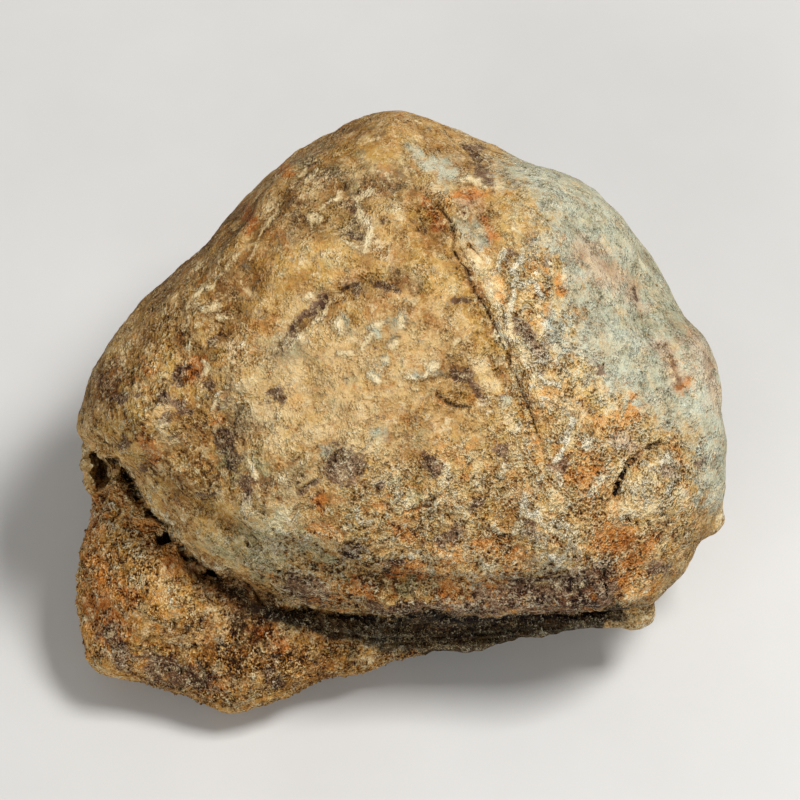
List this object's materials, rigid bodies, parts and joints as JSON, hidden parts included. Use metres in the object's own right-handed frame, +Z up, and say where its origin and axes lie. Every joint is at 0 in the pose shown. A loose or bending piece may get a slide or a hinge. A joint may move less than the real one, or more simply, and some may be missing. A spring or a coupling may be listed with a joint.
{
  "type": "fossil trilobite",
  "caption": "Worn, rolled-up trilobite fossil: a domed head shield over a lump of matrix, in iron-stained stone, resting on its flat worn underside.",
  "frame": {"origin": "middle of the fossil's footprint, on the plane of its flat worn base", "axes": "+X across the fossil to the right as its face is seen, +Y from its lower edge to its back, +Z up from the base"},
  "size_m": [0.0624, 0.0514, 0.0428],
  "materials": {
    "iron_stained_stone": "matt, grainy and pitted, mottled ochre, cream and pale green-grey with rust and dark manganese stains"
  },
  "bodies": {
    "root": {"trilobite_fossil": "iron_stained_stone"}
  },
  "joints": []
}
